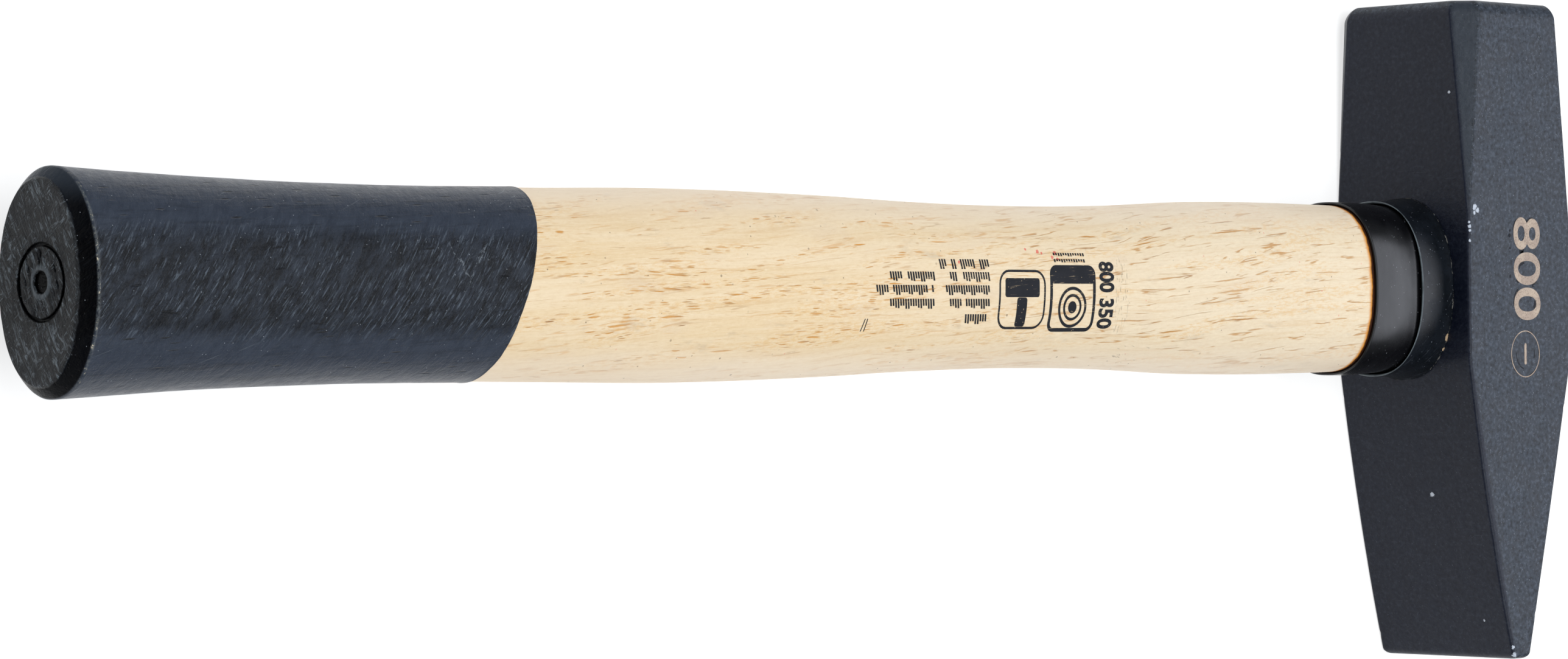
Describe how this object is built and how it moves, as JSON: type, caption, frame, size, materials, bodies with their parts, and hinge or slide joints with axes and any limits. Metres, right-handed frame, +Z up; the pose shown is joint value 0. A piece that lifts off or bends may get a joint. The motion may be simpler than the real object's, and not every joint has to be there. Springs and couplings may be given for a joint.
{
  "type": "cross peen hammer",
  "caption": "Engineer's cross peen hammer with a square face, a wedge peen, a wooden handle dipped in black lacquer and a steel neck sleeve.",
  "frame": {"origin": "on the plane of the lower cheek of the head, under the middle of the whole tool's box, as the hammer lies on its side", "axes": "+X along the handle from the butt to the head, +Y towards the striking face with the peen at -Y, +Z up out of the upper cheek"},
  "size_m": [0.36, 0.13, 0.033],
  "materials": {
    "forged_steel": "blue-black lacquered forged steel, satin, finely speckled",
    "handle_wood": "pale ash, sanded and thinly varnished",
    "grip_lacquer": "black dip lacquer over wood pores, satin",
    "black_sleeve_steel": "glossy black paint",
    "black_collar_steel": "satin black paint",
    "wedge_wood": "raw hardwood end grain",
    "wedge_steel": "bare steel, hammered flush"
  },
  "bodies": {
    "root": {"head": "forged_steel", "handle": "handle_wood", "grip_coating": "grip_lacquer", "sleeve": "black_sleeve_steel", "collar": "black_collar_steel", "wooden_wedge": "wedge_wood", "ring_wedge": "wedge_steel"}
  },
  "joints": []
}
